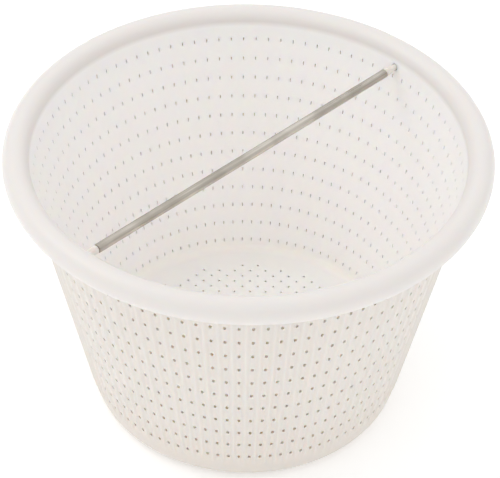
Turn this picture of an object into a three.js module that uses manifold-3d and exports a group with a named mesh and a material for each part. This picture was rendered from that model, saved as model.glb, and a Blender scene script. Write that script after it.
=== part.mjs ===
// A round moulded basket with a rolled rim and a turning metal bar across its mouth.
// Millimetres, +Z up. The origin is the centre of the ring that the basket stands on,
// and the bar lies along X.
import * as THREE from "three";
import { mergeVertices } from "three/addons/utils/BufferGeometryUtils.js";
import Module from "manifold-3d";

// Basket
const HEIGHT = 138;               // standing ring to the top of the rim
const RIM_RADIUS = 106;           // outermost radius of the rim
const RIM_ROLL = 5.8;             // outer radius of the rolled rim's section
const SHELL = 2.4;                // moulded wall thickness
const BASE_RADIUS = 70.4;         // where the wall's line would meet the ground
const BASE_ROUND = 9;             // rounding between the wall and the standing ring
const FLOOR_TOP = 12;             // the floor is raised, so that it drains
const FLOOR_ROUND = 4;            // inner rounding between the floor and the wall
const FOOT_WIDTH = 2.6;           // width of the standing ring
const FOOT_DRAFT = 0.4;           // slope of the standing ring's inner side
const ROLL_END = 0.96;            // radians past level that the rim curls under itself
const BASKET_SEGMENTS = 80;

// Bar, a tube with a plug in each end
const BAR_BELOW_RIM = 3.2;        // bar axis below the centre of the rolled rim
const BAR_RADIUS = 2;
const BAR_BORE = 1.5;
const BAR_LENGTH = 174;
const JOURNAL_RADIUS = 1.4;       // the plug's end, which turns in the wall
const RUNNING_GAP = 0.3;
const NECK_RADIUS = 1.9;          // too wide for the hole, so the bar stays between the walls
const SHANK_RADIUS = 1.3;         // pressed into the tube
const SHANK_LENGTH = 9;
const SEAT_GAP = 0.2;             // between a plug's neck and the end of the tube
const TIP_PROUD = 1.4;            // how far a journal stands out behind the wall
const ROUND_SEGMENTS = 24;

// Worked out
const rimCentreR = RIM_RADIUS - RIM_ROLL;
const rimCentreZ = HEIGHT - RIM_ROLL;
const rimInnerR = rimCentreR - RIM_ROLL;
const wallTopR = rimInnerR + SHELL;
const wallAngle = Math.atan2(rimCentreZ, wallTopR - BASE_RADIUS);
const barZ = rimCentreZ - BAR_BELOW_RIM;

const outerRadiusAt = (z) => BASE_RADIUS + (wallTopR - BASE_RADIUS) * z / rimCentreZ;
const innerRadiusAt = (z) => outerRadiusAt(z) - SHELL;

const ivory = { color: 0xe9e4dc, roughness: 0.42, metalness: 0 };
const brushedSteel = { color: 0xb4aca2, roughness: 0.36, metalness: 1 };

/** Points on an arc about (r, z), from one angle to another in radians. */
function arc(r, z, radius, from, to, steps) {
  const points = [];
  for (let i = 0; i <= steps; i += 1) {
    const angle = from + (to - from) * i / steps;
    points.push(new THREE.Vector2(r + radius * Math.cos(angle), z + radius * Math.sin(angle)));
  }
  return points;
}

/** Rounds the corner between a level line at height z and the wall's line through (r, z). */
function cornerArc(r, z, radius, steps) {
  const setBack = radius * Math.tan(wallAngle / 2);
  return arc(r - setBack, z + radius, radius, -Math.PI / 2, wallAngle - Math.PI / 2, steps);
}

function basketProfile() {
  const outerCorner = cornerArc(BASE_RADIUS, 0, BASE_ROUND, 5);
  const footOuterR = outerCorner[0].x;
  const footInnerR = footOuterR - FOOT_WIDTH;
  const floorUnderside = FLOOR_TOP - SHELL;
  const innerCorner = cornerArc(innerRadiusAt(FLOOR_TOP), FLOOR_TOP, FLOOR_ROUND, 4);
  const lipR = SHELL / 2;
  const lipCentreR = rimCentreR + (RIM_ROLL - lipR) * Math.cos(ROLL_END);
  const lipCentreZ = rimCentreZ - (RIM_ROLL - lipR) * Math.sin(ROLL_END);
  return [
    new THREE.Vector2(0, floorUnderside),
    new THREE.Vector2(footInnerR - FOOT_DRAFT, floorUnderside),
    new THREE.Vector2(footInnerR, 0),
    ...outerCorner,
    ...arc(rimCentreR, rimCentreZ, RIM_ROLL - SHELL, Math.PI, -ROLL_END, 8),
    ...arc(lipCentreR, lipCentreZ, lipR, -Math.PI - ROLL_END, -ROLL_END, 3).slice(1, -1),
    ...arc(rimCentreR, rimCentreZ, RIM_ROLL, -ROLL_END, 0, 3).slice(0, -1),
    ...arc(rimCentreR, rimCentreZ, RIM_ROLL, 0, Math.PI, 10),
    ...innerCorner.reverse(),
    new THREE.Vector2(0, FLOOR_TOP),
  ];
}

/** Turns a profile about +Z. */
function turned(profile, segments) {
  const geometry = new THREE.LatheGeometry(profile, segments);
  geometry.rotateX(Math.PI / 2);
  return geometry;
}

/** A shape turned about +X, from a profile of (distance along X, radius) pairs. */
function turnedAlongX(pairs) {
  const profile = pairs.map(([along, radius]) => new THREE.Vector2(radius, along));
  const geometry = turned(profile, ROUND_SEGMENTS);
  geometry.rotateY(Math.PI / 2);
  return geometry;
}

const wasm = await Module();
wasm.setup();

function toSolid(geometry) {
  const bare = geometry.clone();
  bare.deleteAttribute("normal");
  bare.deleteAttribute("uv");
  const merged = mergeVertices(bare, 1e-4);
  return new wasm.Manifold(new wasm.Mesh({
    numProp: 3,
    vertProperties: new Float32Array(merged.attributes.position.array),
    triVerts: new Uint32Array(merged.index.array),
  }));
}

function toGeometry(solid) {
  const mesh = solid.getMesh();
  const geometry = new THREE.BufferGeometry();
  geometry.setAttribute("position", new THREE.BufferAttribute(mesh.vertProperties, 3));
  geometry.setIndex(new THREE.BufferAttribute(mesh.triVerts, 1));
  geometry.computeVertexNormals();
  return geometry;
}

/** The basket's shell, with a round hole through the wall for each end of the bar. */
function basketGeometry() {
  const boreRadius = JOURNAL_RADIUS + RUNNING_GAP;
  const boreLength = 4 * SHELL;
  let solid = toSolid(turned(basketProfile(), BASKET_SEGMENTS));
  for (const side of [-1, 1]) {
    const bore = new THREE.CylinderGeometry(boreRadius, boreRadius, boreLength, ROUND_SEGMENTS);
    bore.rotateZ(Math.PI / 2);
    bore.translate(side * (innerRadiusAt(barZ) + SHELL / 2), 0, barZ);
    solid = solid.subtract(toSolid(bore));
  }
  return toGeometry(solid);
}

function tubeGeometry() {
  const half = BAR_LENGTH / 2;
  return turnedAlongX([
    [-half, BAR_BORE],
    [-half, BAR_RADIUS],
    [half, BAR_RADIUS],
    [half, BAR_BORE],
    [-half, BAR_BORE],
  ]);
}

/** The plug for the +X end: shank in the tube, tapered neck, journal in the wall. */
function plugGeometry() {
  const tubeEnd = BAR_LENGTH / 2;
  const neckEnd = innerRadiusAt(barZ - NECK_RADIUS) - RUNNING_GAP;
  const tip = outerRadiusAt(barZ) + TIP_PROUD;
  const chamfer = 0.5;
  return turnedAlongX([
    [tubeEnd - SHANK_LENGTH, 0],
    [tubeEnd - SHANK_LENGTH, SHANK_RADIUS],
    [tubeEnd + SEAT_GAP, SHANK_RADIUS],
    [tubeEnd + SEAT_GAP, NECK_RADIUS],
    [neckEnd, JOURNAL_RADIUS],
    [tip - chamfer, JOURNAL_RADIUS],
    [tip, JOURNAL_RADIUS - chamfer],
    [tip, 0],
  ]);
}

function piece(name, geometry, finish) {
  const mesh = new THREE.Mesh(geometry, new THREE.MeshStandardMaterial(finish));
  mesh.name = name;
  return mesh;
}

const cheeseMold = new THREE.Group();
cheeseMold.add(piece("basket", basketGeometry(), ivory));

const bar = new THREE.Group();
bar.position.set(0, 0, barZ);
bar.add(piece("cross_bar", tubeGeometry(), brushedSteel));
bar.add(piece("bar_plug_right", plugGeometry(), ivory));
const leftPlug = piece("bar_plug_left", plugGeometry(), ivory);
leftPlug.rotation.z = Math.PI;
bar.add(leftPlug);
cheeseMold.add(bar);

export default cheeseMold;
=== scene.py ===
"""A round draining basket with a turning metal bar across its mouth.

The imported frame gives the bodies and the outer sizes. Everything here is in metres, with +Z up, the
basket standing on its ring at the origin, and the bar lying along X.
"""

import logging
import math
from dataclasses import dataclass
from enum import Enum
from typing import Callable

import bmesh
import bpy
from mathutils import Matrix, Vector

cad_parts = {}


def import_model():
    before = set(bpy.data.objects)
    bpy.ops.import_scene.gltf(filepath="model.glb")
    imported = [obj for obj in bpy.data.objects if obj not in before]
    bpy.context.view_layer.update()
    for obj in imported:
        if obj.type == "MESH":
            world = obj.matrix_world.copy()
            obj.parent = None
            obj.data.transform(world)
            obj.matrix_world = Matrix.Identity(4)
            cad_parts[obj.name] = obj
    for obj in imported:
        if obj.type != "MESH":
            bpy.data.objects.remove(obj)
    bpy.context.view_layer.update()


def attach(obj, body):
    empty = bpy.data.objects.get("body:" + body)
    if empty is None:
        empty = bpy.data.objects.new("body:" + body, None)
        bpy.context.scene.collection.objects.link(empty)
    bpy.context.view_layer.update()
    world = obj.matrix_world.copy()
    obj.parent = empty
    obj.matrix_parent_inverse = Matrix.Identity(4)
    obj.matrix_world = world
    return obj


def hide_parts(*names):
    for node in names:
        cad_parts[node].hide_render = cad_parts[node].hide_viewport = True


LOG = logging.getLogger("draining_basket")
FULL_TURN = 2 * math.pi
AXIS_HEIGHT = 0.129
BAR_LENGTH = 0.174
PLASTIC_IOR = 1.49
HAIR = 1e-5  # places closer than this count as one
FINE_HAIR = 1e-6  # the same, where small faces lie close together
TURN_HAIR = 1e-3  # angles closer than this count as one, in radians
SEED = 0.001  # side of the plane that is merged to start a drawn line

Span = tuple[float, float]
Place = tuple[float, float, float]
Profile = list[tuple[float, float]]
Test = Callable[[Vector], bool]
Socket = bpy.types.NodeSocket


class End(Enum):
    """The end of the bar that a plug closes, as the sign of X there."""

    RIGHT = 1
    LEFT = -1


# ---------------------------------------------------------------- bench work


def clear_bench() -> None:
    """Leave edit mode and deselect every object."""
    if bpy.context.mode != "OBJECT":
        bpy.ops.object.mode_set(mode="OBJECT")
    bpy.ops.object.select_all(action="DESELECT")


def take(piece: bpy.types.Object) -> None:
    """Make one object the only selected one, and the active one.

    Args:
        piece: The object to work on next.
    """
    clear_bench()
    piece.select_set(True)
    bpy.context.view_layer.objects.active = piece


def settle(name: str) -> bpy.types.Object:
    """Name the object just added and put its place into its mesh.

    Args:
        name: The piece's name.

    Returns:
        The active object, at the origin and unscaled.
    """
    piece = bpy.context.object
    piece.name = name
    piece.data.name = name
    bpy.ops.object.transform_apply(location=True, rotation=True, scale=True)
    return piece


def pick_verts(piece: bpy.types.Object, test: Test) -> int:
    """Select the vertices of the mesh in edit mode that pass a test.

    Args:
        piece: The object in edit mode.
        test: Says whether a vertex at this place is wanted.

    Returns:
        How many were selected.
    """
    bpy.ops.mesh.select_mode(type="VERT")
    bpy.ops.mesh.select_all(action="DESELECT")
    mesh = bmesh.from_edit_mesh(piece.data)
    count = 0
    for vert in mesh.verts:
        if test(vert.co):
            vert.select_set(True)
            count += 1
    mesh.select_flush(True)
    bmesh.update_edit_mesh(piece.data)
    return count


def pick_faces(piece: bpy.types.Object, test: Test) -> int:
    """Select the faces of the mesh in edit mode whose middle passes a test.

    Args:
        piece: The object in edit mode.
        test: Says whether a face with its middle at this place is wanted.

    Returns:
        How many were selected.
    """
    bpy.ops.mesh.select_mode(type="FACE")
    bpy.ops.mesh.select_all(action="DESELECT")
    mesh = bmesh.from_edit_mesh(piece.data)
    count = 0
    for face in mesh.faces:
        if test(face.calc_center_median()):
            face.select_set(True)
            count += 1
    bmesh.update_edit_mesh(piece.data)
    return count


def pick_edges(piece: bpy.types.Object, test: Test, open_only: bool = False) -> int:
    """Select the edges of the mesh in edit mode whose two ends both pass a test.

    Args:
        piece: The object in edit mode.
        test: Says whether an edge's end may be at this place.
        open_only: Take only edges that border at most one face.

    Returns:
        How many were selected.
    """
    bpy.ops.mesh.select_mode(type="EDGE")
    bpy.ops.mesh.select_all(action="DESELECT")
    mesh = bmesh.from_edit_mesh(piece.data)
    count = 0
    for edge in mesh.edges:
        if open_only and len(edge.link_faces) > 1:
            continue
        if all(test(vert.co) for vert in edge.verts):
            edge.select_set(True)
            count += 1
    bmesh.update_edit_mesh(piece.data)
    return count


def draw_line(name: str, places: list[Place]) -> bpy.types.Object:
    """Draw a line of edges by extruding one vertex from place to place.

    Args:
        name: The new object's name.
        places: The line's corners, in order.

    Returns:
        The object, left in edit mode with the whole line selected.
    """
    clear_bench()
    bpy.ops.mesh.primitive_plane_add(size=SEED, location=places[0])
    piece = settle(name)
    bpy.ops.object.mode_set(mode="EDIT")
    bpy.ops.mesh.select_mode(type="VERT")
    bpy.ops.mesh.select_all(action="SELECT")
    bpy.ops.mesh.merge(type="CENTER")
    for here, there in zip(places, places[1:]):
        step = tuple(b - a for a, b in zip(here, there))
        bpy.ops.mesh.extrude_region_move(TRANSFORM_OT_translate={"value": step})
    bpy.ops.mesh.select_all(action="SELECT")
    return piece


def weld(piece: bpy.types.Object, gap: float = HAIR) -> None:
    """Merge doubles and turn every face outwards, in edit mode.

    Args:
        piece: The object in edit mode.
        gap: How far apart doubles may be.
    """
    bpy.ops.mesh.select_mode(type="VERT")
    bpy.ops.mesh.select_all(action="SELECT")
    bpy.ops.mesh.remove_doubles(threshold=gap)
    bpy.ops.mesh.normals_make_consistent(inside=False)
    LOG.debug("%s welded to %d faces", piece.name, len(piece.data.polygons))


def smooth(piece: bpy.types.Object, degrees: float) -> None:
    """Shade a piece smooth across its gentle edges.

    Args:
        piece: The object to shade.
        degrees: The steepest edge that still shades smooth.
    """
    take(piece)
    bpy.ops.object.shade_smooth_by_angle(angle=math.radians(degrees))


def arc(r: float, z: float, radius: float, start: float, end: float, steps: int) -> Profile:
    """Points of an arc in a profile.

    Args:
        r: The centre's distance from the axis.
        z: The centre's height.
        radius: The arc's radius.
        start: Where it starts, in radians from level.
        end: Where it ends.
        steps: How many straight steps it takes.

    Returns:
        The arc's points, both ends included.
    """
    turns = (start + (end - start) * i / steps for i in range(steps + 1))
    return [(r + radius * math.cos(t), z + radius * math.sin(t)) for t in turns]


def turn_of(place: Vector) -> float:
    """How far a place lies round Z from +X, either way, in radians."""
    return abs(math.atan2(place.y, place.x))


# ---------------------------------------------------------------- finishes


class Graph:
    """A material's node tree, with short ways to add and join its nodes."""

    def __init__(self, name: str) -> None:
        """Start a material whose tree holds one shader.

        Args:
            name: The material's name.
        """
        self.material = bpy.data.materials.new(name)
        self.material.use_nodes = True
        self.tree = self.material.node_tree
        self.shader = self.tree.nodes["Principled BSDF"]
        self.place = self.node("ShaderNodeTexCoord").outputs["Object"]

    def node(self, kind: str, **settings: object) -> bpy.types.Node:
        """Add a node and set its own properties.

        Args:
            kind: The node's type.
            **settings: Its properties, by name.

        Returns:
            The new node.
        """
        made = self.tree.nodes.new(kind)
        for name, value in settings.items():
            setattr(made, name, value)
        return made

    def link(self, out: Socket, to: Socket) -> None:
        """Join one socket to another."""
        self.tree.links.new(out, to)

    def mapped(self, scale: Place) -> Socket:
        """Object coordinates stretched along each axis.

        Args:
            scale: The stretch along X, Y and Z.

        Returns:
            The stretched coordinates.
        """
        mapping = self.node("ShaderNodeMapping")
        mapping.inputs["Scale"].default_value = scale
        self.link(self.place, mapping.inputs["Vector"])
        return mapping.outputs["Vector"]

    def noise(self, where: Socket, scale: float, detail: float, rough: float = 0.5) -> Socket:
        """Smooth noise.

        Args:
            where: The coordinates it reads.
            scale: How fine it is.
            detail: How many finer layers it has.
            rough: How strong the finer layers are.

        Returns:
            The noise's value.
        """
        made = self.node("ShaderNodeTexNoise")
        made.inputs["Scale"].default_value = scale
        made.inputs["Detail"].default_value = detail
        made.inputs["Roughness"].default_value = rough
        self.link(where, made.inputs["Vector"])
        return made.outputs["Fac"]

    def spread(self, value: Socket, ends: Span, to: Span) -> Socket:
        """Stretch a value from one range to another, clamped.

        Args:
            value: The value to stretch.
            ends: The range that it comes in.
            to: The range that it goes out in.

        Returns:
            The stretched value.
        """
        made = self.node("ShaderNodeMapRange")
        for name, number in zip(("From Min", "From Max", "To Min", "To Max"), (*ends, *to)):
            made.inputs[name].default_value = number
        self.link(value, made.inputs["Value"])
        return made.outputs["Result"]

    def tint(self, share: Socket, first: object, second: object) -> Socket:
        """Mix two colours.

        Args:
            share: How much of the second shows.
            first: A colour, or a socket that gives one.
            second: The other colour, or its socket.

        Returns:
            The mixed colour.
        """
        made = self.node("ShaderNodeMix", data_type="RGBA")
        self.link(share, made.inputs[0])
        for colour, socket in zip((first, second), (made.inputs[6], made.inputs[7])):
            if isinstance(colour, Socket):
                self.link(colour, socket)
            else:
                socket.default_value = (*colour, 1)
        return made.outputs[2]

    def maths(self, kind: str, *values: object) -> Socket:
        """Work out one sum.

        Args:
            kind: The sum, as the node names it.
            *values: Its numbers, or sockets that give them, in order.

        Returns:
            The result.
        """
        made = self.node("ShaderNodeMath", operation=kind)
        for value, socket in zip(values, made.inputs):
            if isinstance(value, Socket):
                self.link(value, socket)
            else:
                socket.default_value = value
        return made.outputs["Value"]

    def bump(self, height: Socket, depth: float, strength: float) -> None:
        """Raise the surface by a height.

        Args:
            height: The height, from 0 to 1.
            depth: How far 1 stands up, in metres.
            strength: How strongly it shades.
        """
        made = self.node("ShaderNodeBump")
        made.inputs["Strength"].default_value = strength
        made.inputs["Distance"].default_value = depth
        self.link(height, made.inputs["Height"])
        self.link(made.outputs["Normal"], self.shader.inputs["Normal"])

    def put(self, **values: object) -> None:
        """Set the shader's own sockets.

        Args:
            **values: Numbers or colours, by socket name with _ for a space.
        """
        for name, value in values.items():
            self.shader.inputs[name.replace("_", " ")].default_value = value


@dataclass(frozen=True)
class MouldedIvory:
    """Satin ivory plastic, slightly translucent, with painted light and shade in its colour: lighter
    inside, darker outside and on the rim, darker low on the outside and in patches in the slots'
    linings.

    The first five fields are the basket's own sizes, by which a point's zone is known.
    """

    foot_radius: float
    slope: float
    shell: float
    floor: float
    rim_height: float
    name: str = "moulded_ivory"
    # Painted light: the inside and its floor are the plastic painted far lighter than the outside; the
    # floor a touch warmer and darker.
    inside: Place = (0.975, 0.950, 0.945)
    base: Place = (0.970, 0.935, 0.890)
    # Painted shade: the outside is the same plastic painted darker.
    outside: Place = (0.765, 0.732, 0.690)
    # Painted shade: the rim is painted darker than the inside, against its brightly lit roll.
    rim: Place = (0.79, 0.762, 0.742)
    worn: Place = (0.72, 0.68, 0.628)
    # Painted shade: the outside darkens towards the table over this band of height.
    low_shade: Place = (0.755, 0.700, 0.640)
    # Painted shade: the slots' linings are darkened and browned in random patches.
    lining_shade: Place = (0.74, 0.68, 0.59)
    low_shade_band: Span = (0.040, 0.003)
    cloud_scale: float = 26
    lining_shade_scale: float = 34
    gloss: float = 0.40
    gloss_scale: float = 90
    grain_scale: float = 900
    grain_depth: float = 0.00006

    def zones(self, graph: Graph) -> tuple[Socket, Socket, Socket, Socket]:
        """Work out where on the basket a point lies.

        Args:
            graph: The material's tree.

        Returns:
            How far it belongs to the inside, to the slots' linings and to the rim, each from
            0 to 1, and its height.
        """
        split = graph.node("ShaderNodeSeparateXYZ")
        graph.link(graph.place, split.inputs["Vector"])
        height = split.outputs["Z"]
        flat = graph.node("ShaderNodeVectorMath", operation="LENGTH")
        graph.link(graph.mapped((1, 1, 0)), flat.inputs[0])
        wall = graph.maths("MULTIPLY_ADD", height, self.slope, self.foot_radius)
        depth = graph.maths("SUBTRACT", wall, flat.outputs["Value"])
        above = graph.spread(height, (self.floor - 0.002, self.floor - 0.0005), (0, 1))
        inner = graph.spread(depth, (0.3 * self.shell, 0.8 * self.shell), (0, 1))
        entry = graph.spread(depth, (0.06 * self.shell, 0.25 * self.shell), (0, 1))
        leave = graph.spread(depth, (0.75 * self.shell, 0.45 * self.shell), (0, 1))
        lining = graph.maths("MULTIPLY", graph.maths("MULTIPLY", entry, leave), above)
        top = graph.spread(height, (self.rim_height - 0.0012, self.rim_height + 0.0013), (0, 1))
        roll = graph.spread(depth, (-0.0004, -0.0016), (0, 1))
        inside = graph.maths("MULTIPLY", inner, above)
        rim = graph.maths("MAXIMUM", top, roll)
        return inside, lining, rim, height

    def make(self) -> bpy.types.Material:
        """Build the material.

        Returns:
            The finished material.
        """
        graph = Graph(self.name)
        inside, lining, rim, height = self.zones(graph)
        clouds = graph.spread(graph.noise(graph.place, self.cloud_scale, 3), (0.40, 0.72), (0, 0.35))
        patches = graph.spread(graph.noise(graph.place, self.lining_shade_scale, 2), (0.47, 0.62), (0, 1))
        # Painted shade towards the table on the outside's lowest band.
        low = graph.spread(height, self.low_shade_band, (0, 0.85))
        deep = graph.spread(height, (self.floor + 0.008, self.floor + 0.001), (0, 1))
        colour = graph.tint(clouds, self.outside, self.worn)
        colour = graph.tint(low, colour, self.low_shade)
        # Painted light and shade: the inside painted lighter, the outside darker.
        colour = graph.tint(inside, colour, graph.tint(deep, self.inside, self.base))
        # Painted shade in patches in the slots' linings.
        colour = graph.tint(graph.maths("MULTIPLY", lining, patches), colour, self.lining_shade)
        # Painted shade on the rim.
        colour = graph.tint(rim, colour, self.rim)
        graph.link(colour, graph.shader.inputs["Base Color"])
        handled = graph.noise(graph.place, self.gloss_scale, 4)
        rough = graph.spread(handled, (0.3, 0.7), (-0.04, 0.04))
        level = graph.spread(rim, (0, 1), (self.gloss, self.gloss - 0.06))
        graph.link(graph.maths("ADD", rough, level), graph.shader.inputs["Roughness"])
        graph.put(IOR=PLASTIC_IOR, Subsurface_Weight=0.5, Subsurface_Scale=0.003)
        graph.put(Subsurface_Radius=(1.0, 0.75, 0.5))
        grain = graph.noise(graph.place, self.grain_scale, 3, 0.6)
        graph.bump(grain, self.grain_depth, 0.35)
        return graph.material


@dataclass(frozen=True)
class BrushedSteel:
    """Stainless tube, brushed along its length and a little worn."""

    name: str = "brushed_steel"
    bright: Place = (0.70, 0.655, 0.595)
    dull: Place = (0.40, 0.365, 0.315)
    brushing: Place = (9, 560, 560)
    line_depth: float = 0.00003
    blotch_scale: float = 55

    def make(self) -> bpy.types.Material:
        """Build the material.

        Returns:
            The finished material.
        """
        graph = Graph(self.name)
        lines = graph.noise(graph.mapped(self.brushing), 1, 4, 0.6)
        blotches = graph.noise(graph.place, self.blotch_scale, 3)
        blotches = graph.spread(blotches, (0.42, 0.72), (0, 1))
        colour = graph.tint(graph.spread(lines, (0.35, 0.65), (0, 1)), self.bright, self.dull)
        colour = graph.tint(blotches, colour, self.dull)
        graph.link(colour, graph.shader.inputs["Base Color"])
        graph.link(graph.spread(lines, (0.3, 0.7), (0.27, 0.42)), graph.shader.inputs["Roughness"])
        graph.put(Metallic=1.0)
        graph.bump(lines, self.line_depth, 0.4)
        return graph.material


@dataclass(frozen=True)
class PlugPlastic:
    """The bar plugs' plastic, a shade warmer than the basket's and rubbed smoother."""

    name: str = "plug_plastic"
    clean: Place = (0.84, 0.80, 0.75)
    rubbed: Place = (0.70, 0.65, 0.58)
    smear: Place = (1, 3, 3)
    mark_scale: float = 300
    grain_scale: float = 1400
    grain_depth: float = 0.00004

    def make(self) -> bpy.types.Material:
        """Build the material.

        Returns:
            The finished material.
        """
        graph = Graph(self.name)
        marks = graph.noise(graph.mapped(self.smear), self.mark_scale, 3)
        marks = graph.spread(marks, (0.4, 0.7), (0, 0.8))
        colour = graph.tint(marks, self.clean, self.rubbed)
        graph.link(colour, graph.shader.inputs["Base Color"])
        graph.link(graph.spread(marks, (0, 1), (0.33, 0.5)), graph.shader.inputs["Roughness"])
        graph.put(IOR=PLASTIC_IOR, Subsurface_Weight=0.2, Subsurface_Scale=0.002)
        graph.bump(graph.noise(graph.place, self.grain_scale, 2), self.grain_depth, 0.3)
        return graph.material


# ---------------------------------------------------------------- basket


@dataclass(frozen=True)
class Slot:
    """The opening that a slot makes on one side of the wall."""

    width: float
    height: float
    shoulder: float
    rise: float = 0.0
    end_share: float = 0.45

    def levels(self, middle: float) -> tuple[float, float, float, float]:
        """The four heights that shape the opening.

        Args:
            middle: The height of the slot's row.

        Returns:
            The heights from its lower end to its upper one.
        """
        low = middle + self.rise - self.height / 2
        high = middle + self.rise + self.height / 2
        return (low, low + self.shoulder, high - self.shoulder, high)

    def widths(self) -> tuple[float, float, float, float]:
        """The opening's width at each of those heights."""
        narrow = self.end_share * self.width
        return (narrow, self.width, self.width, narrow)


@dataclass
class Basket:
    """The moulded basket: floor, tapered wall, standing ring and rolled rim."""

    height: float = 0.138
    rim_radius: float = 0.106
    rim_roll: float = 0.0058
    roll_end: float = 0.96
    shell: float = 0.0024
    base_radius: float = 0.0704
    base_round: float = 0.009
    floor_top: float = 0.012
    floor_round: float = 0.004
    foot_width: float = 0.0026
    foot_draft: float = 0.0004

    columns: int = 100
    slot_rows: int = 12
    top_row: float = 0.1247
    row_pitch: float = 0.0097
    outer_slot: Slot = Slot(0.0013, 0.0021, 0.0005, 0.0002)
    inner_slot: Slot = Slot(0.0005, 0.0020, 0.0004)
    slot_turn: float = math.radians(0.60)
    rib_foot_turn: float = math.radians(1.05)
    rib_top_turn: float = math.radians(1.50)
    rib_proud: float = 1.0062
    rib_top: float = 0.1262
    rib_bottom: float = 0.0145
    rib_top_fade: float = 0.0012
    rib_bottom_fade: float = 0.0014

    floor_pitch: float = 0.00535
    floor_hole: float = 0.00055
    floor_reach: float = 0.0590
    bore: float = 0.0017
    bore_length: float = 0.0096

    @property
    def half_column(self) -> float:
        """Half the angle that one column takes."""
        return math.pi / self.columns

    @property
    def roll_r(self) -> float:
        """Radius of the circle that the rolled rim's centre runs on."""
        return self.rim_radius - self.rim_roll

    @property
    def roll_z(self) -> float:
        """Height of the rolled rim's centre."""
        return self.height - self.rim_roll

    @property
    def wall_slope(self) -> float:
        """How much the wall's radius grows for each metre of height."""
        return (self.outer_r(self.roll_z) - self.base_radius) / self.roll_z

    @property
    def wall_angle(self) -> float:
        """The wall's slope, from level."""
        return math.atan2(self.roll_z, self.outer_r(self.roll_z) - self.base_radius)

    def outer_r(self, z: float) -> float:
        """The wall's outer radius at a height."""
        top = self.rim_radius - 2 * self.rim_roll + self.shell
        return self.base_radius + (top - self.base_radius) * z / self.roll_z

    def inner_r(self, z: float) -> float:
        """The wall's inner radius at a height."""
        return self.outer_r(z) - self.shell

    def rows(self) -> list[float]:
        """The heights of the rows of slots, from the top row down."""
        return [self.top_row - self.row_pitch * k for k in range(self.slot_rows)]

    def corner(self, r: float, z: float, radius: float, steps: int) -> Profile:
        """Round the corner between a level line and the wall's slope.

        Args:
            r: Where the two lines would meet.
            z: The level line's height.
            radius: The rounding.
            steps: How many straight steps it takes.

        Returns:
            The rounded corner's points, from the level line up to the wall.
        """
        back = radius * math.tan(self.wall_angle / 2)
        return arc(r - back, z + radius, radius, -math.pi / 2, self.wall_angle - math.pi / 2, steps)

    def outer_profile(self) -> Profile:
        """The outside, from the rolled edge down the wall to the hollow under the floor.

        Returns:
            The profile's points.
        """
        roll = arc(self.roll_r, self.roll_z, self.rim_roll - self.shell, -self.roll_end, math.pi, 9)
        slots = [z for row in self.rows() for z in reversed(self.outer_slot.levels(row))]
        upper = [self.rib_top + self.rib_top_fade, self.rib_top]
        lower = [self.rib_bottom, self.rib_bottom - self.rib_bottom_fade]
        wall = [(self.outer_r(z), z) for z in upper + slots + lower]
        corner = self.corner(self.base_radius, 0, self.base_round, 6)
        foot = corner[0][0] - self.foot_width
        ring = [(foot, 0.0), (foot - self.foot_draft, self.floor_top - self.shell)]
        return roll + wall + corner[::-1] + ring

    def inner_profile(self) -> Profile:
        """The inside, from the floor's edge up the wall and over the rim to its rolled edge.

        Returns:
            The profile's points.
        """
        corner = self.corner(self.inner_r(self.floor_top), self.floor_top, self.floor_round, 6)
        slots = sorted(z for row in self.rows() for z in self.inner_slot.levels(row))
        wall = [(self.inner_r(z), z) for z in slots]
        roll = arc(self.roll_r, self.roll_z, self.rim_roll, math.pi, -self.roll_end, 18)
        half = self.shell / 2
        edge = self.rim_roll - half
        lip_r = self.roll_r + edge * math.cos(self.roll_end)
        lip_z = self.roll_z - edge * math.sin(self.roll_end)
        lip = arc(lip_r, lip_z, half, -self.roll_end, -math.pi - self.roll_end, 4)[1:-1]
        return corner + wall + roll + lip

    def sweep(self, name: str, profile: Profile, turns: list[float]) -> bpy.types.Object:
        """Draw a profile at one side of a column and spin it in steps to the other side.

        Args:
            name: The new object's name.
            profile: Its points, as distance from the axis and height.
            turns: The angles of the column's upright lines, from one side to the other.

        Returns:
            The swept panel, in object mode.
        """
        start = turns[0]
        places = [(r * math.cos(start), r * math.sin(start), z) for r, z in profile]
        panel = draw_line(name, places)
        for here, there in zip(turns, turns[1:]):
            bpy.ops.mesh.spin(steps=1, angle=here - there, center=(0, 0, 0), axis=(0, 0, 1))
        bpy.ops.object.mode_set(mode="OBJECT")
        return panel

    def open_slots(self, panel: bpy.types.Object, slot: Slot) -> None:
        """Shape a panel's slots, with narrowed ends and even width, and take their faces out.

        Args:
            panel: A swept panel, in object mode.
            slot: The opening that each slot makes in it.
        """
        take(panel)
        bpy.ops.object.mode_set(mode="EDIT")
        turn = self.slot_turn
        for row in self.rows():
            reach = math.sin(turn) * (self.outer_r(row) + self.inner_r(row)) / 2
            for z, width in zip(slot.levels(row), slot.widths()):
                pick_verts(
                    panel, lambda p: abs(turn_of(p) - turn) < TURN_HAIR and abs(p.z - z) < HAIR
                )
                factor = width / 2 / reach
                bpy.ops.transform.resize(value=(1, factor, 1), center_override=(0, 0, 0))
        spans = [(slot.levels(row)[0], slot.levels(row)[3]) for row in self.rows()]
        pick_faces(panel, lambda p: abs(p.y) < HAIR and any(a < p.z < b for a, b in spans))
        bpy.ops.mesh.delete(type="FACE")
        bpy.ops.object.mode_set(mode="OBJECT")

    def raise_ribs(self, panel: bpy.types.Object) -> None:
        """Stand the half ribs at a column's two sides proud of the wall.

        Args:
            panel: The outer panel, in object mode.
        """
        take(panel)
        bpy.ops.object.mode_set(mode="EDIT")
        low, high = self.rib_bottom - HAIR, self.rib_top + HAIR
        turn, proud = self.rib_top_turn - TURN_HAIR, self.rib_proud
        pick_verts(panel, lambda p: low < p.z < high and turn_of(p) > turn)
        bpy.ops.transform.resize(value=(proud, proud, 1), center_override=(0, 0, 0))
        bpy.ops.object.mode_set(mode="OBJECT")

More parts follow.
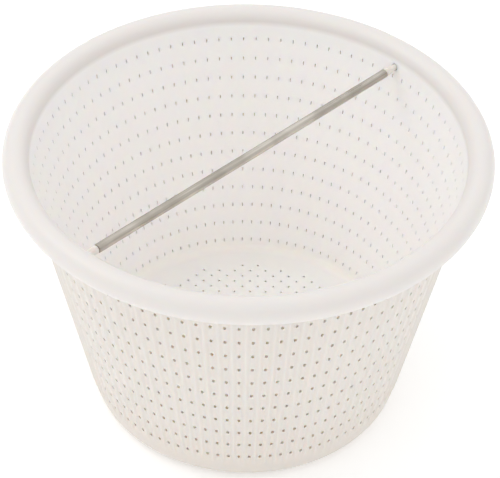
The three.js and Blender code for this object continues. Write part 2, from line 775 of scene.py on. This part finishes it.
    def column(self) -> bpy.types.Object:
        """One column of the wall, inside and outside, with its slots lined.

        Returns:
            The column, open at both sides, in object mode.
        """
        half, slot = self.half_column, self.slot_turn
        near = [self.rib_foot_turn, self.rib_top_turn, half]
        outer_turns = [-t for t in reversed(near)] + [-slot, slot] + near
        outer = self.sweep("column_outer", self.outer_profile(), outer_turns)
        self.open_slots(outer, self.outer_slot)
        self.raise_ribs(outer)
        inner = self.sweep("column_inner", self.inner_profile(), [-half, -slot, slot, half])
        self.open_slots(inner, self.inner_slot)
        take(outer)
        inner.select_set(True)
        bpy.ops.object.join()
        bpy.ops.object.mode_set(mode="EDIT")
        wide = (self.slot_turn + self.rib_foot_turn) / 2
        for row in self.rows():
            levels = self.outer_slot.levels(row) + self.inner_slot.levels(row)
            low, high = min(levels) - HAIR, max(levels) + HAIR
            pick_edges(outer, lambda p: low < p.z < high and turn_of(p) < wide, open_only=True)
            bpy.ops.mesh.bridge_edge_loops()
        bpy.ops.object.mode_set(mode="OBJECT")
        return outer

    def floor_holes(self) -> bpy.types.Object:
        """The rims of the floor's drain holes, on a square grid, as open rings of edges.

        Returns:
            The rings, level with the floor's top, in object mode.
        """
        pitch, reach = self.floor_pitch, self.floor_reach
        most = 2 * int(reach / pitch) + 2
        counts = (most, most - 1)
        first = [-pitch * (count - 1) / 2 for count in counts]
        clear_bench()
        bpy.ops.mesh.primitive_circle_add(
            vertices=12, radius=self.floor_hole, location=(*first, self.floor_top)
        )
        holes = settle("floor_holes")
        for axis, count in enumerate(counts):
            step = [0.0, 0.0, 0.0]
            step[axis] = pitch
            array = holes.modifiers.new("row", "ARRAY")
            array.use_relative_offset = False
            array.use_constant_offset = True
            array.constant_offset_displace = step
            array.count = count
            bpy.ops.object.modifier_apply(modifier=array.name)
        bpy.ops.object.mode_set(mode="EDIT")

        def too_far(place: Vector) -> bool:
            """Say whether the hole round this place would pass the standing ring."""
            middle = (a + round((v - a) / pitch) * pitch for v, a in zip(place, first))
            return math.hypot(*middle) > reach

        pick_verts(holes, too_far)
        bpy.ops.mesh.delete(type="VERT")
        bpy.ops.object.mode_set(mode="OBJECT")
        return holes

    def lay_floor(self, shell: bpy.types.Object) -> None:
        """Close the shell with a floor that has drain holes right through it.

        Args:
            shell: The spun wall and rim, open at the floor, in object mode.
        """
        holes = self.floor_holes()
        take(holes)
        bpy.ops.object.mode_set(mode="EDIT")
        bpy.ops.mesh.select_all(action="SELECT")
        bpy.ops.mesh.extrude_region_move(TRANSFORM_OT_translate={"value": (0, 0, -self.shell)})
        bpy.ops.object.mode_set(mode="OBJECT")
        take(shell)
        holes.select_set(True)
        bpy.ops.object.join()
        bpy.ops.object.mode_set(mode="EDIT")
        edge = self.inner_r(0)
        for level in (self.floor_top, self.floor_top - self.shell):
            found = pick_edges(
                shell,
                lambda p: abs(p.z - level) < HAIR and math.hypot(p.x, p.y) < edge,
                open_only=True,
            )
            bpy.ops.mesh.fill(use_beauty=True)
            LOG.debug("floor at %.4f filled inside %d edges", level, found)
        bpy.ops.object.mode_set(mode="OBJECT")

    def join_roll(self, shell: bpy.types.Object) -> None:
        """Bridge the rolled edge between the shell's outside and inside.

        Args:
            shell: The spun shell, in object mode.
        """
        take(shell)
        bpy.ops.object.mode_set(mode="EDIT")
        low = self.roll_z - self.rim_roll - self.shell
        pick_edges(shell, lambda p: low < p.z < self.height, open_only=True)
        bpy.ops.mesh.bridge_edge_loops()
        bpy.ops.object.mode_set(mode="OBJECT")

    def bore_wall(self, shell: bpy.types.Object) -> None:
        """Drill the two round holes that the bar's journals turn in.

        Args:
            shell: The closed shell, in object mode.
        """
        middle = self.inner_r(AXIS_HEIGHT) + self.shell / 2
        for end in End:
            clear_bench()
            bpy.ops.mesh.primitive_cylinder_add(
                vertices=32,
                radius=self.bore,
                depth=self.bore_length,
                location=(end.value * middle, 0, AXIS_HEIGHT),
                rotation=(0, math.pi / 2, 0),
            )
            drill = settle("drill")
            take(shell)
            cut = shell.modifiers.new("bore", "BOOLEAN")
            cut.operation = "DIFFERENCE"
            cut.solver = "EXACT"
            cut.object = drill
            bpy.ops.object.modifier_apply(modifier=cut.name)
            bpy.data.objects.remove(drill)

    def build(self) -> bpy.types.Object:
        """Model the whole basket.

        Returns:
            One closed mesh, in object mode.
        """
        shell = self.column()
        take(shell)
        bpy.ops.object.mode_set(mode="EDIT")
        bpy.ops.mesh.select_all(action="SELECT")
        last = FULL_TURN * (self.columns - 1) / self.columns
        bpy.ops.mesh.spin(
            steps=self.columns - 1, dupli=True, angle=last, center=(0, 0, 0), axis=(0, 0, 1)
        )
        weld(shell)
        bpy.ops.object.mode_set(mode="OBJECT")
        self.lay_floor(shell)
        self.join_roll(shell)
        take(shell)
        bpy.ops.object.mode_set(mode="EDIT")
        weld(shell, FINE_HAIR)
        bpy.ops.object.mode_set(mode="OBJECT")
        self.bore_wall(shell)
        smooth(shell, degrees=50)
        shell.name = "moulded_basket"
        shell.data.name = "moulded_basket"
        return shell

    def dress(self, shell: bpy.types.Object, plastic: bpy.types.Material) -> None:
        """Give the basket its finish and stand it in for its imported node.

        Args:
            shell: The finished basket.
            plastic: Its material.
        """
        shell.data.materials.clear()
        shell.data.materials.append(plastic)
        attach(shell, "basket")
        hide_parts("basket")


# ---------------------------------------------------------------- bar


@dataclass
class CrossBar:
    """The metal tube across the mouth, bored at each end for a plug."""

    length: float = BAR_LENGTH
    radius: float = 0.0020
    bore: float = 0.0015
    bore_depth: float = 0.0095
    edge_round: float = 0.00012

    def build(self) -> bpy.types.Object:
        """Model the tube.

        Returns:
            The finished tube, in object mode.
        """
        clear_bench()
        bpy.ops.mesh.primitive_cylinder_add(
            vertices=48,
            radius=self.radius,
            depth=self.length,
            location=(0, 0, AXIS_HEIGHT),
            rotation=(0, math.pi / 2, 0),
        )
        tube = settle("turned_bar")
        bpy.ops.object.mode_set(mode="EDIT")
        end = self.length / 2
        pick_edges(tube, lambda p: abs(abs(p.x) - end) < FINE_HAIR)
        bpy.ops.mesh.bevel(offset=self.edge_round, segments=2, affect="EDGES")
        for side in End:
            rim = side.value * end
            pick_faces(tube, lambda p: abs(p.x - rim) < FINE_HAIR)
            wall = self.radius - self.edge_round - self.bore
            bpy.ops.mesh.inset(thickness=wall, depth=0)
            inward = (-side.value * self.bore_depth, 0, 0)
            bpy.ops.mesh.extrude_region_move(TRANSFORM_OT_translate={"value": inward})
        weld(tube, FINE_HAIR)
        bpy.ops.object.mode_set(mode="OBJECT")
        smooth(tube, degrees=35)
        return tube

    def dress(self, tube: bpy.types.Object, steel: bpy.types.Material) -> None:
        """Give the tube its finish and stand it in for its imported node.

        Args:
            tube: The finished tube.
            steel: Its material.
        """
        tube.data.materials.append(steel)
        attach(tube, "bar")
        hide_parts("cross_bar")


@dataclass
class BarPlug:
    """A moulded plug: shank in the tube, tapered neck, journal in the wall."""

    end: End
    tube_end: float = BAR_LENGTH / 2
    shank: float = 0.0013
    shank_length: float = 0.009
    seat_gap: float = 0.0002
    neck: float = 0.0019
    neck_end: float = 0.0930
    neck_bend_at: float = 0.4
    neck_bend_taper: float = 0.3
    journal: float = 0.0014
    tip: float = 0.09756
    softening: float = 0.0003
    steps: int = 32

    def outline(self) -> Profile:
        """The plug's outline, from the shank's end to the journal's tip.

        Returns:
            Its points, as distance from the bar's axis and place along it.
        """
        start = self.tube_end - self.shank_length
        seat = self.tube_end + self.seat_gap
        soft = self.softening
        bend_r = self.neck + self.neck_bend_taper * (self.journal - self.neck)
        bend_x = seat + self.neck_bend_at * (self.neck_end - seat)
        return [
            (0.0, start),
            (self.shank - soft, start),
            (self.shank, start + soft),
            (self.shank, seat),
            (self.neck - soft, seat),
            (self.neck, seat + soft),
            (bend_r, bend_x),
            (self.journal, self.neck_end),
            (self.journal, self.tip - 2 * soft),
            (self.journal - soft, self.tip - 0.5 * soft),
            (self.journal - 2 * soft, self.tip),
            (0.0, self.tip),
        ]

    def build(self) -> bpy.types.Object:
        """Turn the plug's outline round the bar's axis.

        Returns:
            The finished plug, in object mode.
        """
        side = self.end.value
        places = [(side * x, 0.0, AXIS_HEIGHT + r) for r, x in self.outline()]
        plug = draw_line(f"turned_plug_{self.end.name.lower()}", places)
        bpy.ops.mesh.spin(
            steps=self.steps,
            angle=FULL_TURN,
            center=(0, 0, AXIS_HEIGHT),
            axis=(1, 0, 0),
        )
        weld(plug, FINE_HAIR)
        bpy.ops.object.mode_set(mode="OBJECT")
        smooth(plug, degrees=40)
        return plug

    def dress(self, plug: bpy.types.Object, plastic: bpy.types.Material) -> None:
        """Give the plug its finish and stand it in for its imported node.

        Args:
            plug: The finished plug.
            plastic: Its material.
        """
        plug.data.materials.append(plastic)
        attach(plug, "bar")
        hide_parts(f"bar_plug_{self.end.name.lower()}")


# ---------------------------------------------------------------- studio


@dataclass
class Studio:
    """A white table, soft light all round, and the camera."""

    table_size: float = 6.0
    table_drop: float = 0.0002
    table_tones: tuple[Place, Place] = ((0.955, 0.955, 0.955), (0.97, 0.97, 0.97))
    table_light: float = 0.2
    aim: Place = (0.0, 0.0, 0.1322)
    azimuth: float = 314.7
    elevation: float = 41.45
    distance: float = 0.848
    slide: tuple[float, float] = (0.00126, -0.03819)
    roll: float = 1.05
    lens: float = 141.5
    horizon: float = 0.64
    zenith: float = 1.14
    lamp_place: Place = (-0.53, 0.90, 1.45)
    lamp_aim: Place = (0.0, 0.0, 0.08)
    lamp_size: float = 0.7
    lamp_power: float = 3.6

    def set_table(self) -> None:
        """Lay the table that the basket stands on."""
        clear_bench()
        bpy.ops.mesh.primitive_plane_add(size=self.table_size, location=(0, 0, -self.table_drop))
        table = settle("table")
        graph = Graph("white_table")
        shade = graph.spread(graph.noise(graph.place, 3, 2), (0.3, 0.7), (0.0, 1.0))
        colour = graph.tint(shade, *self.table_tones)
        graph.link(colour, graph.shader.inputs["Base Color"])
        graph.put(Roughness=0.9, Emission_Color=(1, 1, 1, 1), Emission_Strength=self.table_light)
        table.data.materials.append(graph.material)

    def set_camera(self) -> None:
        """Place the camera from its turn, its height and its slide across the view."""
        turn, tilt = math.radians(self.azimuth), math.radians(self.elevation)
        back = Vector(
            (math.sin(turn) * math.cos(tilt), -math.cos(turn) * math.cos(tilt), math.sin(tilt))
        )
        right = Vector((math.cos(turn), math.sin(turn), 0))
        up = back.cross(right)
        place = Vector(self.aim) + back * self.distance + right * self.slide[0] + up * self.slide[1]
        view = Matrix((right, up, back)).transposed()
        view = view @ Matrix.Rotation(math.radians(self.roll), 3, "Z")
        bpy.ops.object.camera_add(location=place, rotation=view.to_euler())
        camera = bpy.context.object
        camera.data.lens = self.lens
        camera.data.sensor_width = 36
        bpy.context.scene.camera = camera

    def hang_softbox(self) -> None:
        """Hang one soft light above and behind, facing the basket."""
        facing = (Vector(self.lamp_aim) - Vector(self.lamp_place)).to_track_quat("-Z", "Y")
        bpy.ops.object.light_add(
            type="AREA", location=self.lamp_place, rotation=facing.to_euler()
        )
        light = bpy.context.object
        light.name = "overhead"
        light.data.shape = "SQUARE"
        light.data.size = self.lamp_size
        light.data.energy = self.lamp_power

    def light_room(self) -> None:
        """Light everything from all round, and more strongly from above."""
        world = bpy.data.worlds.new("white_room")
        world.use_nodes = True
        tree = world.node_tree
        sky = tree.nodes["Background"]
        sky.inputs["Color"].default_value = (1, 1, 1, 1)
        way = tree.nodes.new("ShaderNodeTexCoord")
        split = tree.nodes.new("ShaderNodeSeparateXYZ")
        rise = tree.nodes.new("ShaderNodeMapRange")
        rise.inputs["To Min"].default_value = self.horizon
        rise.inputs["To Max"].default_value = self.zenith
        tree.links.new(way.outputs["Generated"], split.inputs["Vector"])
        tree.links.new(split.outputs["Z"], rise.inputs["Value"])
        tree.links.new(rise.outputs["Result"], sky.inputs["Strength"])
        bpy.context.scene.world = world

    def open(self) -> None:
        """Set the table, the lights and the camera."""
        self.set_table()
        self.light_room()
        self.hang_softbox()
        self.set_camera()
        scene = bpy.context.scene
        scene.view_settings.view_transform = "Standard"
        scene.view_settings.look = "None"


def main() -> None:
    """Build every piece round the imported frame."""
    logging.basicConfig(level=logging.INFO, format="%(message)s")
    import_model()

    basket = Basket()
    ivory = MouldedIvory(
        basket.base_radius, basket.wall_slope, basket.shell, basket.floor_top, basket.roll_z
    )
    shell = basket.build()
    basket.dress(shell, ivory.make())
    LOG.info("basket: %d faces", len(shell.data.polygons))

    bar = CrossBar()
    tube = bar.build()
    bar.dress(tube, BrushedSteel().make())
    LOG.info("bar: %d faces", len(tube.data.polygons))

    plastic = PlugPlastic().make()
    for end in End:
        maker = BarPlug(end)
        plug = maker.build()
        maker.dress(plug, plastic)
        LOG.info("%s: %d faces", plug.name, len(plug.data.polygons))

    Studio().open()


if __name__ == "__main__":
    main()
